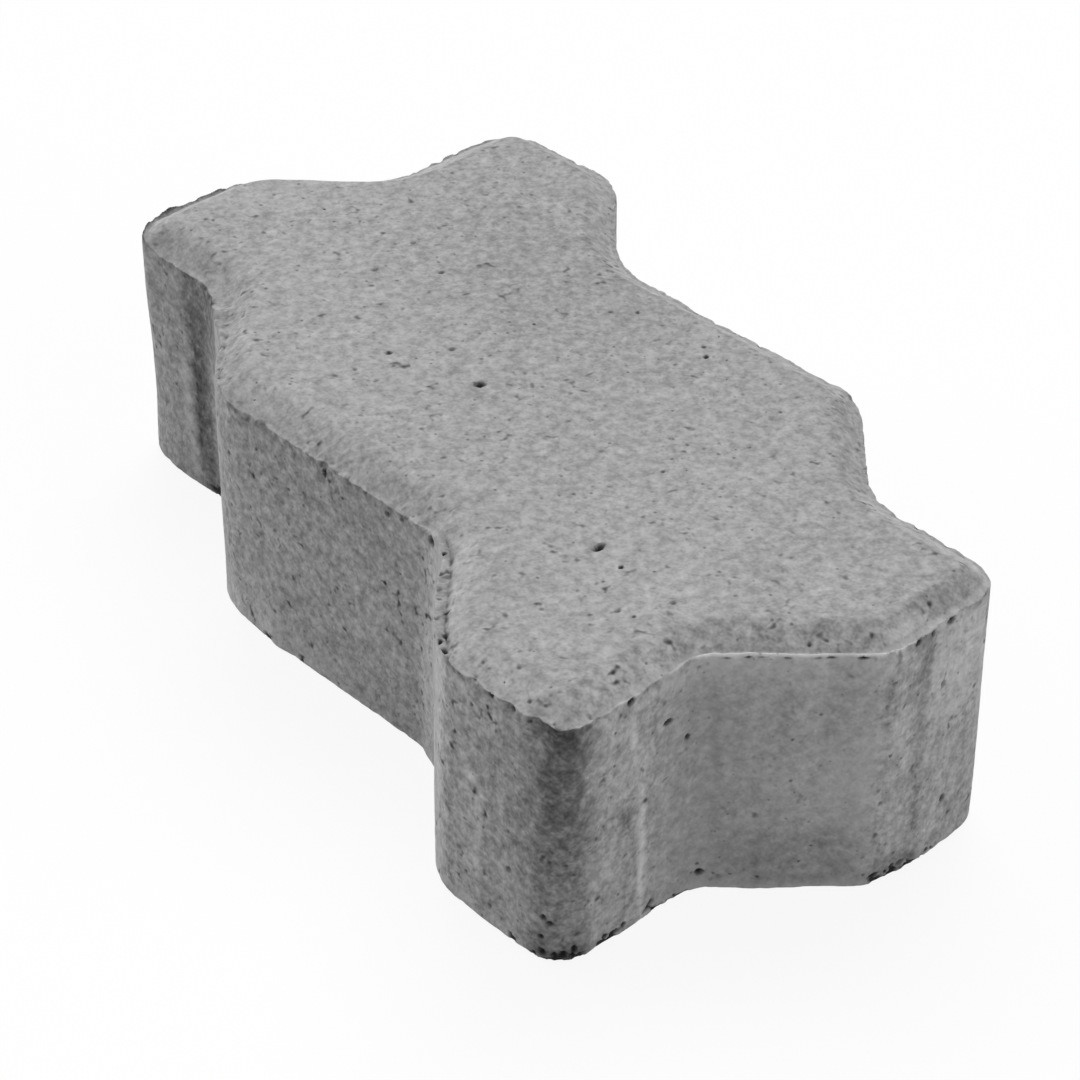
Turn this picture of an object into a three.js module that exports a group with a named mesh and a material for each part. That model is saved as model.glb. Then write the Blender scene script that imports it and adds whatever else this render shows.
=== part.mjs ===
// A wave-sided concrete paving stone, cast in one piece.
// Millimetres, +Z up, with the origin at the middle of the underside.
// +X runs across the stone and +Y along it. The chamfered face is the one that is walked on.

import * as THREE from 'three';
import { mergeVertices } from 'three/addons/utils/BufferGeometryUtils.js';

// The laying module: the stone takes up one module across and two along.
const moduleWidth = 112.5;
const modulesAlong = 2;
const thickness = 70;

// The wave. Each module side is a short edge, a long edge that crosses the module line, and a short edge.
const shortEdge = 40.4;
const waveAngle = THREE.MathUtils.degToRad(15);
const waveRadius = 22;

// The four square corners of the stone.
const cornerRadius = 10;

// The section of the edge. The mould widens towards the foot, so that it lifts off the fresh stone.
// The tamper presses the chamfer, and its clearance in the mould leaves a narrow flat land outside it.
const mouldTaper = 0.8;
const landWidth = 1;
const chamferWidth = 6.3;
const chamferDrop = 4.2;
const smallestRadius = 0.5;

// How finely the rounded corners are faceted.
const degreesPerFacet = 9;

// The corners of one module side that starts at (0, 0), before it is turned into its place.
// The first bends into the stone and the second bends out of it.
const waveCorner = new THREE.Vector2(shortEdge * Math.cos(waveAngle), shortEdge * Math.sin(waveAngle));
const moduleSide = [
  { at: waveCorner, radius: waveRadius, hollow: true },
  { at: new THREE.Vector2(moduleWidth, 0).sub(waveCorner), radius: waveRadius, hollow: false },
];

// Every side of the stone is the same module side, turned by a quarter turn at each square corner.
// That is what lets the stones lock together, both in rows and turned across each other.
function outlineCorners() {
  const modulesOnSide = [1, modulesAlong, 1, modulesAlong];
  const corners = [];
  const start = new THREE.Vector2(-moduleWidth / 2, -moduleWidth * modulesAlong / 2);
  modulesOnSide.forEach((modules, side) => {
    const turn = side * Math.PI / 2;
    corners.push({ at: start.clone(), radius: cornerRadius, hollow: false });
    for (let module = 0; module < modules; module += 1) {
      for (const corner of moduleSide) {
        const at = corner.at.clone().rotateAround(new THREE.Vector2(), turn).add(start);
        corners.push({ ...corner, at });
      }
      start.add(new THREE.Vector2(moduleWidth, 0).rotateAround(new THREE.Vector2(), turn));
    }
  });
  return corners;
}

const corners = outlineCorners();

// The outline moved inwards by a distance, with each corner as an arc.
// Bulging corners tighten and hollow ones open as it moves in, so the edge keeps an even width.
function outline(inset) {
  const points = [];
  corners.forEach((corner, i) => {
    const before = corners.at(i - 1).at;
    const after = corners[(i + 1) % corners.length].at;
    const arriving = corner.at.clone().sub(before).normalize();
    const leaving = after.clone().sub(corner.at).normalize();
    const bend = Math.atan2(arriving.cross(leaving), arriving.dot(leaving));
    const side = corner.hollow ? -1 : 1;

    // Both edges move inwards, and the arc's centre lies where they are its radius away.
    const radius = Math.max(corner.radius - side * inset, smallestRadius);
    const inwards = new THREE.Vector2(-arriving.y - leaving.y, arriving.x + leaving.x).normalize();
    const centre = corner.at.clone().addScaledVector(inwards, (inset + side * radius) / Math.cos(bend / 2));

    const startAngle = Math.atan2(-side * arriving.x, side * arriving.y);
    const facets = Math.ceil(THREE.MathUtils.radToDeg(Math.abs(bend)) / degreesPerFacet);
    const arc = new THREE.EllipseCurve(
      centre.x, centre.y, radius, radius, startAngle, startAngle + bend, corner.hollow);
    points.push(...arc.getPoints(facets));
  });
  return points;
}

// The edge from the foot to the top, as an inset and a height for each ring of the surface.
const edgeProfile = [
  { inset: 0, height: 0 },
  { inset: mouldTaper, height: thickness - chamferDrop },
  { inset: mouldTaper + landWidth, height: thickness - chamferDrop },
  { inset: mouldTaper + landWidth + chamferWidth, height: thickness },
];

// The body: rings of the outline joined by walls, and closed by the underside and the top face.
function stoneGeometry() {
  const rings = edgeProfile.map(({ inset }) => outline(inset));
  const count = rings[0].length;
  const positions = rings.flatMap((ring, level) =>
    ring.flatMap((point) => [point.x, point.y, edgeProfile[level].height]));
  const faces = [];
  for (let level = 0; level + 1 < rings.length; level += 1) {
    for (let i = 0; i < count; i += 1) {
      const low = level * count + i;
      const lowNext = level * count + (i + 1) % count;
      faces.push(low, lowNext, lowNext + count);
      faces.push(low, lowNext + count, low + count);
    }
  }
  const top = (rings.length - 1) * count;
  for (const [a, b, c] of THREE.ShapeUtils.triangulateShape(rings[0], [])) {
    faces.push(c, b, a);
  }
  for (const [a, b, c] of THREE.ShapeUtils.triangulateShape(rings.at(-1), [])) {
    faces.push(top + a, top + b, top + c);
  }
  const geometry = new THREE.BufferGeometry();
  geometry.setAttribute('position', new THREE.Float32BufferAttribute(positions, 3));
  geometry.setIndex(faces);
  return mergeVertices(geometry);
}

const concrete = new THREE.MeshStandardMaterial({ color: 0xa3a3a1, roughness: 0.95, metalness: 0 });

const pavingStone = new THREE.Mesh(stoneGeometry(), concrete);
pavingStone.name = 'paving_stone';

const part = new THREE.Group();
part.add(pavingStone);

export default part;
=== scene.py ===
# A wave-sided concrete paving stone: the fine surface and finish that go over its CAD solid.
# Metres, +Z up, with the origin at the middle of the underside, as in the CAD frame.

import math
import random

import bpy
import numpy as np
from mathutils import Matrix, Vector, noise
from mathutils.geometry import delaunay_2d_cdt


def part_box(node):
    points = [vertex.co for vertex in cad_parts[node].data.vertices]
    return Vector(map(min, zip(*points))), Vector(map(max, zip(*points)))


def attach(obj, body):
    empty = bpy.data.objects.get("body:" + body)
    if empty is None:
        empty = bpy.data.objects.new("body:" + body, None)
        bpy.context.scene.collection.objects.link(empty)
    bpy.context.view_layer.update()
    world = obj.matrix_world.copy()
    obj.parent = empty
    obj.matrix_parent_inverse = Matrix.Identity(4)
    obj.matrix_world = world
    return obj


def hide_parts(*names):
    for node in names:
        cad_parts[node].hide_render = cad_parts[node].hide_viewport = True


mm = 0.001

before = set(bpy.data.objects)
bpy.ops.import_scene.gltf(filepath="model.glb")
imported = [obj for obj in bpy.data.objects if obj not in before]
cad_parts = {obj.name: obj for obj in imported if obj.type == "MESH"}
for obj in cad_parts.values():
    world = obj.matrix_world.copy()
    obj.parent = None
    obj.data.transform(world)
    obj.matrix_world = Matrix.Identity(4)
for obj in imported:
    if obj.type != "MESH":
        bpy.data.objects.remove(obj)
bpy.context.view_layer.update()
stoneLow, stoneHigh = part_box("paving_stone")

# The cast shape, in the same sizes as the CAD solid.
stone = {
    "thickness": stoneHigh.z - stoneLow.z,
    "moduleWidth": 112.5 * mm,
    "modulesAlong": 2,
    "shortEdge": 40.4 * mm,
    "waveAngle": math.radians(15),
    "waveRadius": 22 * mm,
    "cornerRadius": 10 * mm,
    "mouldTaper": 0.8 * mm,
    "landWidth": 1 * mm,
    "chamferWidth": 6.3 * mm,
    "chamferDrop": 4.2 * mm,
    "arrisRadius": 0.35 * mm,    # how far the lip of the mould rounds the arris
    "footRadius": 0.7 * mm,      # the foot edge, as it leaves the pallet
    "landBlend": 0.25 * mm,      # half the width over which the land turns into the chamfer
}

# How closely the surface points stand. Edges and pits have them closer than the open faces.
spacing = {
    "wall": 1.3 * mm,
    "edge": 0.72 * mm,
    "edgeBand": 3 * mm,
    "rim": 0.45 * mm,            # between the rings of the land and the foot of the chamfer
    "rimBand": 4 * mm,
    "top": 1.2 * mm,
    "underside": 2.6 * mm,
    "outline": 3 * mm,           # along the ring that tells inside from outside
    "jitter": 0.22,
    "arcRows": 3,                # rows of points round the foot and round the arris
    "seam": 8 * mm,              # how much of each end of the unrolled wall is repeated past the other
    "ringPoints": 1.05,          # along a ring of the chamfer, as a share of the edge's gap
    "ringGap": 0.9,              # between two rings, the same
    "ringJitter": 0.2,
    "ringsEnd": 1 * mm,          # the rings stop so far before the corner's middle
    "joinGap": 0.2 * mm,         # from the last ring to the open face
    "footGap": 1.2 * mm,         # from the foot's arc to the underside's points
}

# Relief that is cut into the skin, as depths below the CAD surface.
relief = {
    "skin": 0.15 * mm,           # the mean depth, which leaves room for the high spots
    "leastDepth": 0.03 * mm,
    "swell": 0.1 * mm, "swellSize": 34 * mm,
    "grain": 0.07 * mm, "grainSize": 2.6 * mm,
    "draw": 0.1 * mm, "drawSize": 2.2 * mm, "drawStretch": 14,
    "arrisWear": 1.3 * mm, "arrisWearSize": 1.9 * mm, "arrisBand": 1.3 * mm,
    "arrisWave": 1.0 * mm, "arrisWaveSize": 3.6 * mm, "arrisWaveBand": 2.6 * mm,
    "waveGain": 1.6, "waveBase": 0.1,
    "nickShade": 0.8, "nickDark": (0.22, 0.5),
    "arrisShade": 0.5, "arrisShadeBand": 1.5 * mm, "arrisShadeDrop": 0.5 * mm,
    "blotchGain": 1.6, "blotchBase": 0.4,
    "footWear": 0.3 * mm, "footWearSize": 2.4 * mm, "footBand": 2 * mm,
    # Crumbs break out where their zone and a lumpy noise together pass a level.
    "crumbSize": 2.3 * mm, "crumbFineSize": 0.8 * mm, "crumbFine": 0.4,
    "crumbZone": 0.66, "crumbLump": 0.9, "crumbOpens": (0.36, 0.46), "crumbInset": 3 * mm,
    "crumbLeast": 0.35,          # how much of its depth is left at the floor itself
    "ridge": 0.18 * mm, "ridgeWidth": 0.6 * mm, "ridgeInset": 1.5 * mm, "ridgePaintedHighlight": 0.12,
    "chamferEndPaintedShade": 0.86, "chamferEndInset": 0.3 * mm, "chamferEndWidth": 0.9 * mm,
    "rimWidth": 0.34 * mm, "rimSize": 2.2 * mm, "rimUneven": 0.5, "rimPaintedLight": 1.6, "rimSoft": 3,
    "grooveWidth": 0.35 * mm, "grooveIn": 0.6, "grooveBase": 0.8,
    "grooveShade": 0.8, "grooveDark": (0.1, 0.5),
    "bowEnds": (2 * mm, 1 * mm),    # the bow starts to fade here, and ends so far past the chamfer
    "bulgeEnds": 2.7 * mm,
    # The lowered arris: how far down the wall it is felt, where it starts to fade inwards, and its soft ends.
    "lowBand": 14 * mm, "lowStarts": 1 * mm, "lowSoft": 5,
}

# Where in the noise each pattern is read, so that no two are alike.
noiseShift = {
    "grain": 11, "draw": 23, "nicks": 31, "waves": 35, "blotch": 37, "foot": 41, "lump": 47, "fineLump": 49,
    "wander": 51, "fineWander": 61, "rim": 71,
}

# The stretches of the outline, named anticlockwise from the front left corner.
stretchNames = [
    "frontLeft", "frontMiddle", "frontRight",
    "rightNear", "rightNearStep", "rightMiddle", "rightFarStep", "rightFar",
    "backRight", "backMiddle", "backLeft",
    "leftFar", "leftFarStep", "leftMiddle", "leftNearStep", "leftNear",
]

# The top edge of each stretch, in millimetres: the width of the land, the groove at the foot of the chamfer,
# how ragged the arris is as a share of the most, and how softly the chamfer turns into the top.
edgeFinish = {
    "frontLeft": (1.0, 0.1, 0.6, 0.9),
    "frontMiddle": (0.9, 0.1, 0.1, 0.9),
    "frontRight": (1.0, 0.1, 0.7, 1.1),
    "rightNear": (1.0, 0.1, 0.7, 1.0),
    "rightNearStep": (1.2, 0.2, 0.5, 1.2),
    "rightMiddle": (1.0, 0.1, 0.6, 1.0),
    "rightFarStep": (1.0, 0.2, 0.5, 1.0),
    "rightFar": (1.0, 0.1, 0.6, 1.0),
    "backRight": (1.0, 0.1, 0.7, 1.0),
    "backMiddle": (1.0, 0.1, 0.4, 1.0),
    "backLeft": (1.0, 0.1, 0.5, 1.0),
    "leftFar": (1.0, 0.0, 0.9, 2.4),
    "leftFarStep": (1.2, 0.22, 0.5, 2.4),
    "leftMiddle": (1.0, 0.0, 1.0, 2.4),
    "leftNearStep": (2.1, 0.45, 0.6, 2.4),
    "leftNear": (1.0, 0.0, 1.0, 1.6),
}

# The thin rim of cement that the tamper squeezes up along the arris, in millimetres: the stretch,
# from and to, how high it stands, and its tone: above 1 a painted highlight, below 1 painted shade on the
# back fins.
rims = [
    ("frontLeft", 2, 22, 0.25, 1.3),
    ("frontLeft", 23, 40, 0.2, 1.25),
    ("frontLeft", 35.5, 81.5, 0.55, 2.4),
    ("frontLeft", 78, 88, 0.3, 1.4),
    ("leftNearStep", 3, 36, 0.2, 1.2),
    ("leftFarStep", 14, 30, 0.4, 1.2),
    ("backLeft", 0, 12, 0.4, 0.9),
    ("backLeft", 7, 30, 0.75, 0.45),
    ("backLeft", 21, 44, 1.1, 0.3),
    ("backRight", 6, 30, 0.4, 0.8),
    ("rightMiddle", 12, 70, 0.3, 1.2),
    ("rightFar", 4, 22, 0.4, 1.2),
    ("rightNear", 10, 30, 0.25, 1.2),
]


def outlineCorners():
    # Every side is the same module side, turned a quarter turn at each square corner.
    width = stone["moduleWidth"]
    waveCorner = stone["shortEdge"] * Vector((math.cos(stone["waveAngle"]), math.sin(stone["waveAngle"])))
    moduleSide = [(waveCorner, -stone["waveRadius"]), (Vector((width, 0)) - waveCorner, stone["waveRadius"])]
    corners = []
    start = Vector((-width / 2, -width * stone["modulesAlong"] / 2))
    for side, modules in enumerate([1, stone["modulesAlong"]] * 2):
        turn = Matrix.Rotation(side * math.pi / 2, 2)
        corners.append((start.copy(), stone["cornerRadius"]))
        for module in range(modules):
            corners += [(start + turn @ at, radius) for at, radius in moduleSide]
            start = start + turn @ Vector((width, 0))
    return corners


corners = outlineCorners()


def outlineStretches():
    # Arcs and straights in turn. A hollow corner has a negative radius.
    arcs = []
    for i, (at, radius) in enumerate(corners):
        before, after = corners[i - 1][0], corners[(i + 1) % len(corners)][0]
        arriving, leaving = (at - before).normalized(), (after - at).normalized()
        bend = math.atan2(arriving.cross(leaving), arriving.dot(leaving))
        inwards = Vector((-arriving.y - leaving.y, arriving.x + leaving.x)).normalized()
        centre = at + inwards * radius / math.cos(bend / 2)
        tangent = abs(radius * math.tan(bend / 2))
        out = -Vector((-arriving.y, arriving.x)) * math.copysign(1, radius)
        arcs.append({"kind": "arc", "centre": centre, "radius": abs(radius), "side": math.copysign(1, radius),
                     "angle": math.atan2(out.y, out.x), "length": abs(radius * bend),
                     "begin": at - arriving * tangent, "end": at + leaving * tangent})
    stretches, along = [], 0
    for i, arc in enumerate(arcs):
        step = arcs[(i + 1) % len(arcs)]["begin"] - arc["end"]
        straight = {"kind": "straight", "begin": arc["end"], "direction": step.normalized(),
                    "length": step.length}
        for stretch in (arc, straight):
            stretch["start"] = along
            along += stretch["length"]
            stretches.append(stretch)
    return stretches, along


stretches, perimeter = outlineStretches()


def onOutline(along):
    # Points on the outline and their inward directions, for distances along it.
    along = np.mod(along, perimeter)
    point, inward = np.zeros((len(along), 2)), np.zeros((len(along), 2))
    starts = [stretch["start"] for stretch in stretches]
    which = np.searchsorted(starts, along, side="right") - 1
    for i, stretch in enumerate(stretches):
        here = which == i
        t = along[here] - stretch["start"]
        if stretch["kind"] == "arc":
            angle = stretch["angle"] + stretch["side"] * t / stretch["radius"]
            ray = np.stack([np.cos(angle), np.sin(angle)], 1)
            point[here] = np.array(stretch["centre"]) + stretch["radius"] * ray
            inward[here] = -stretch["side"] * ray
        else:
            direction = np.array(stretch["direction"])
            point[here] = np.array(stretch["begin"]) + t[:, None] * direction
            inward[here] = (-direction[1], direction[0])
    return point, inward


def nearestOnOutline(points):
    # For points inside the stone: how far in they lie, and where along the outline.
    inset = np.full(len(points), np.inf)
    along = np.zeros(len(points))
    for stretch in stretches:
        if stretch["kind"] == "arc":
            ray = points - np.array(stretch["centre"])
            angle = np.arctan2(ray[:, 1], ray[:, 0])
            turned = stretch["side"] * (angle - stretch["angle"])
            half = stretch["length"] / stretch["radius"] / 2
            turned = np.mod(turned - half + math.pi, 2 * math.pi) - math.pi + half
            t = np.clip(turned, 0, 2 * half) * stretch["radius"]
        else:
            offset = points - np.array(stretch["begin"])
            t = np.clip(offset @ np.array(stretch["direction"]), 0, stretch["length"])
        foot, _ = onOutline(stretch["start"] + np.clip(t, 0, stretch["length"] * (1 - 1e-9)))
        distance = np.linalg.norm(points - foot, axis=1)
        nearer = distance < inset
        inset[nearer] = distance[nearer]
        along[nearer] = stretch["start"] + t[nearer]
    return inset, along


def alongOf(name, distance):
    # A place on a named stretch, measured along the outline from the middle of the corner it starts at.
    arc = stretches[2 * stretchNames.index(name)]
    return arc["start"] + arc["length"] / 2 + distance


def finishAlong(along, values, default, soft=2 * mm):
    # A value for each stretch, turning to the next one's round the corner between them.
    knots, levels = [], []
    for i, name in enumerate(stretchNames):
        start = alongOf(name, 0)
        end = start + (alongOf(stretchNames[(i + 1) % len(stretchNames)], 0) - start) % perimeter
        knots += [start + soft, end - soft]
        levels += [values.get(name, default)] * 2
    return np.interp(along, knots, levels, period=perimeter)


def edgeAlong(along, column):
    return finishAlong(along, {name: values[column] for name, values in edgeFinish.items()}, 0)


def evenAlong(inset, gap, shift):
    # Distances along the outline that stand evenly on the ring at this inset.
    knots, lengths = [0.0], [0.0]
    for stretch in stretches:
        share = 1 - stretch["side"] * inset / stretch["radius"] if stretch["kind"] == "arc" else 1
        knots.append(stretch["start"] + stretch["length"])
        lengths.append(lengths[-1] + stretch["length"] * share)
    count = round(lengths[-1] / gap)
    return np.interp((np.arange(count) + shift) * lengths[-1] / count, lengths, knots)


# The section. Along the wall it is unrolled: round the foot, up the wall, and over the arris.
arrisHeight = stone["thickness"] - stone["chamferDrop"]
footArc = stone["footRadius"] * math.pi / 2
wallTop = arrisHeight - stone["arrisRadius"]
wallRun = wallTop - stone["footRadius"]
skinRun = footArc + wallRun + stone["arrisRadius"] * math.pi / 2
landStart = stone["mouldTaper"] + stone["arrisRadius"]
chamferEnd = stone["mouldTaper"] + stone["landWidth"] + stone["chamferWidth"]
ridgeAt = chamferEnd + relief["ridgeInset"]


def wallSection(run):
    # Inset and height on the unrolled section, and how much the surface faces out and up.
    footTurn = np.clip(run / stone["footRadius"], 0, math.pi / 2)
    arrisTurn = np.clip((run - footArc - wallRun) / stone["arrisRadius"], 0, math.pi / 2)
    climb = np.clip(run - footArc, 0, wallRun)
    height = (stone["footRadius"] * (1 - np.cos(footTurn)) + climb + stone["arrisRadius"] * np.sin(arrisTurn))
    inset = (stone["footRadius"] * (1 - np.sin(footTurn)) + stone["mouldTaper"] * climb / wallRun
             + stone["arrisRadius"] * (1 - np.cos(arrisTurn)))
    out = np.sin(footTurn) * np.cos(arrisTurn)
    up = np.sin(arrisTurn) - np.cos(footTurn)
    return inset, height, out, up


def blendedRamp(distance, blend):
    # 0 before the turn and rising one for one after it, with a soft turn.
    soft = (distance + blend) ** 2 / (4 * blend)
    return np.where(distance < -blend, 0, np.where(distance > blend, distance, soft))


def topHeight(inset, along):
    start = stone["mouldTaper"] + edgeAlong(along, 0) * mm
    slope = stone["chamferDrop"] / (chamferEnd - start)
    climb = blendedRamp(inset - start, stone["landBlend"])
    level = blendedRamp(inset - chamferEnd, edgeAlong(along, 3) * mm)
    return arrisHeight + slope * (climb - level)


def insideGrid(gap, least, seed):
    # A jittered honeycomb over the stone's inside, at least so far in from the outline.
    draw = random.Random(seed)
    halfWidth, halfLength = stoneHigh.x, stoneHigh.y
    points, row, y = [], 0, -halfLength
    while y < halfLength:
        x = -halfWidth + (row % 2) * gap / 2
        while x < halfWidth:
            points.append((x + draw.uniform(-1, 1) * gap * spacing["jitter"],
                           y + draw.uniform(-1, 1) * gap * spacing["jitter"]))
            x += gap
        y += gap * math.sqrt(3) / 2
        row += 1
    points = np.array(points)
    inset, _ = nearestOnOutline(points)
    return points[(inset > least) & insideOutline(points)]


def insideOutline(points):
    ring, _ = onOutline(evenAlong(0, spacing["outline"], 0))
    inside = np.zeros(len(points), bool)
    for a, b in zip(ring, np.roll(ring, -1, 0)):
        spans = (a[1] > points[:, 1]) != (b[1] > points[:, 1])
        if a[1] != b[1]:
            crossing = a[0] + (points[:, 1] - a[1]) * (b[0] - a[0]) / (b[1] - a[1])
            inside ^= spans & (points[:, 0] < crossing)
    return inside


# The round holes, where 1 is the rim of a hole. Each ring of points has its place and its number of points.
pitShape = {
    "rings": ((0.4, 6), (0.75, 10), (1.0, 13), (1.3, 15)),
    "clear": 1.55,               # the even points give way up to here
    "felt": 2,                   # nothing of a hole is felt past this
    "floor": (0.25, 1.1),        # where the flat floor ends, and where the hole does
    "shade": (0.1, 0.4, 1.3),    # where the shade starts to fade, how much later in a deep hole, and its end
    "uneven": 0.35, "unevenSize": 0.5 * mm,
    "depth": 0.65,               # for its half width, where no depth is given
    "fromWallEnds": 0.15 * mm,
}


def pitRings(pit):
    # Points that give one pit a round floor and rim.
    points = [(0, 0)]
    for share, count in pitShape["rings"]:
        for k in range(count):
            turn = 2 * math.pi * (k + share) / count
            points.append((share * math.cos(turn), share * math.sin(turn)))
    points = np.array(points) * (pit["halfWidth"], pit["halfLength"])
    cosTurn, sinTurn = math.cos(pit["turn"]), math.sin(pit["turn"])
    return points @ np.array([[cosTurn, sinTurn], [-sinTurn, cosTurn]]) + pit["at"]


def clearedFor(points, pits):
    # The even points, without those that a pit's own points take the place of.
    keep = np.ones(len(points), bool)
    for pit in pits:
        reach = pitShape["clear"] * max(pit["halfWidth"], pit["halfLength"])
        near = np.linalg.norm(points - pit["at"], axis=1) < reach
        keep[near] &= pitReach(points[near], pit) > pitShape["clear"]
    return points[keep]


def pitReach(points, pit, uneven=0):
    # Distance from the pit's middle, where 1 is its rim.
    offset = points - pit["at"]
    cosTurn, sinTurn = math.cos(pit["turn"]), math.sin(pit["turn"])
    across = offset @ np.array([cosTurn, sinTurn]) / pit["halfWidth"]
    lengthwise = offset @ np.array([-sinTurn, cosTurn]) / pit["halfLength"]
    wander = [noise.noise((x, y, 0)) for x, y in (points / pitShape["unevenSize"]).tolist()] if uneven else 0
    return np.hypot(across, lengthwise) * (1 + uneven * np.array(wander))


def makePit(x, y, halfWidth, halfLength=None, turn=0, depth=None):
    # Sizes are in millimetres. The deeper a pit for its width, the darker the painted shade in it.
    halfLength = halfLength or halfWidth
    narrow = min(halfWidth, halfLength)
    depth = depth or pitShape["depth"] * narrow
    return {"at": np.array([x, y]) * mm, "halfWidth": halfWidth * mm, "halfLength": halfLength * mm,
            "turn": math.radians(turn), "depth": depth * mm, "shade": min(1, depth / narrow)}


# Air holes in the walked-on face: across, along, half width, half length, turn and depth.
topHoles = [
    (-12.5, 4.0, 1.45, 1.25, 0, 1.5), (-19.6, -63.3, 1.9, 1.05, 20, 1.4),
    (-18.9, -71.6, 0.7, 0.65, 0, 1.0), (41.6, -7.5, 0.7, 0.6, 0, 0.4),
    (39.9, -11.3, 0.9, 0.7, 30, 0.8), (7.0, -46.0, 0.7, 0.6), (-15.5, -87.5, 1.0, 0.8),
    (-27.1, -84.2, 1.0, 0.7, 15, 0.4), (-25.2, -87.6, 0.6, 0.5), (-25.0, 26.0, 1.0, 0.8, 0, 0.65),
    (-11.4, 60.4, 1.1, 0.8, -20, 0.45), (2.4, 51.4, 0.9, 0.7, 0, 0.45), (2.6, 67.0, 0.9, 0.8, 0, 0.35),
    (-26.6, 20.7, 0.5, 0.5, 0, 0.25), (-35.2, 23.7, 0.7, 0.7, 0, 0.35),
    (-11.2, 20.3, 1.1, 0.8, 0, 0.5), (29.9, 16.2, 0.8, 0.7, 0, 0.4), (35.4, 12.8, 0.7, 0.6, 0, 0.45),
]


def edgePit(name, distance, inset, halfWidth, halfLength=None, turn=0, depth=None):
    # A hole in the land or the chamfer: millimetres along a named stretch, and in from the outline.
    at, inward = onOutline(np.array([alongOf(name, distance * mm)]))
    place = at[0] + inward[0] * inset * mm
    return makePit(place[0] / mm, place[1] / mm, halfWidth, halfLength, turn, depth)


# The same in the land and the chamfer: along the stretch, in from the outline, and so on.
edgeHoles = {
    "leftNearStep": [
        (5.2, 1.5, 0.9, 0.6, 0, 0.7), (12.2, 1.5, 0.7, 0.6, 0, 0.4), (13.2, 2.6, 1.0, 0.8, 0, 0.35),
        (17.8, 1.5, 0.9, 0.4, 45, 0.2), (21.0, 1.7, 0.4, 0.4, 0, 0.2), (25.7, 3.1, 0.9, 0.5, 0, 0.45),
        (27.6, 1.5, 0.9, 0.5, 30, 0.25), (33.8, 3.0, 0.9, 0.9, 0, 0.7), (35.6, 1.4, 0.7, 0.8, 0, 0.75),
        (39.3, 1.4, 1.1, 1.0, 0, 1.6),
    ],
    "leftFarStep": [
        (9.0, 2.6, 0.5, 0.5, 0, 0.2), (13.0, 2.2, 0.5, 0.6, 0, 0.2), (18.5, 2.4, 0.5, 0.7, 0, 0.2),
        (22.5, 2.4, 0.6, 0.5, 0, 0.2), (32.0, 2.0, 0.5, 0.5, 0, 0.2), (36.0, 1.9, 0.5, 0.4, 0, 0.2),
    ],
    "frontMiddle": [(22.0, 3.6, 0.6, 0.6, 0, 0.45)],
    "leftNear": [(11.0, 4.9, 0.4, 0.5, 0, 0.2), (26.0, 3.8, 0.5, 0.7, 0, 0.3)],
}


def wallPit(name, distance, height, halfWidth, halfLength=None, turn=0, depth=None):
    # A hole in a side wall: millimetres along a named stretch, and above the floor.
    run = footArc + height * mm - stone["footRadius"]
    along = alongOf(name, distance * mm) % perimeter
    return makePit(along / mm, run / mm, halfWidth, halfLength, turn, depth)


# The same in the side walls: along the stretch, up from the floor, and so on.
wallHoles = {
    "frontLeft": [
        (29.6, 52.8, 1.5, 0.8, -4, 1.1), (35.3, 45.2, 0.8, 0.8, 0, 0.75),
        (34.5, 63.5, 0.7, 0.6, 0, 0.2), (37.3, 63.2, 0.6, 0.5, 0, 0.2),
        (29.2, 37.2, 0.9, 0.4, 10, 0.2), (13.7, 50.2, 0.5, 0.5),
    ],
    "frontMiddle": [
        (1.3, 5.3, 1.1, 1.0, 0, 1.1), (0.8, 7.8, 0.5, 0.5), (14, 4, 0.6, 0.5), (23, 8.2, 0.4, 0.4),
        (25.5, 12.6, 0.4, 0.3), (15.5, 26.2, 0.4, 0.3, 0, 0.12), (6.8, 22, 0.4, 0.3, 0, 0.12),
    ],
    "frontRight": [
        (2.5, 57, 0.8, 0.6, 0, 0.3), (1, 51.0, 0.6, 0.9, 0, 0.3), (3.0, 36.8, 0.6, 0.6, 0, 0.35),
        (1.4, 23.7, 0.7, 0.7, 0, 0.35), (0.8, 14.7, 0.7, 0.8, 0, 0.4), (19.3, 48, 0.9, 1.1, 0, 0.55),
        (21.5, 14.5, 1.0, 1.2, 0, 0.9), (24, 8.8, 0.7, 0.6, 0, 0.35),
    ],
    "leftNear": [
        (33.5, 12.7, 0.9, 0.9, 0, 0.8), (35.1, 11.4, 0.9, 0.8, 30, 0.75), (33.1, 7, 0.8, 0.7, 0, 0.65),
        (11.6, 59.0, 0.6, 0.6), (17.4, 59.0, 0.6, 0.5, 0, 0.3), (23.5, 20.5, 0.8, 0.9),
        (9.8, 10.5, 0.6, 0.5),
    ],
    "leftMiddle": [
        (40.4, 63.0, 0.8, 1.3, 0, 0.9), (5.3, 49.6, 0.7, 0.9, 0, 0.45), (27.5, 50.6, 0.6, 0.5, 0, 0.3),
        (61.9, 63.0, 0.9, 0.9, 0, 0.7), (66.7, 64, 0.7, 0.7),
    ],
}

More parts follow.
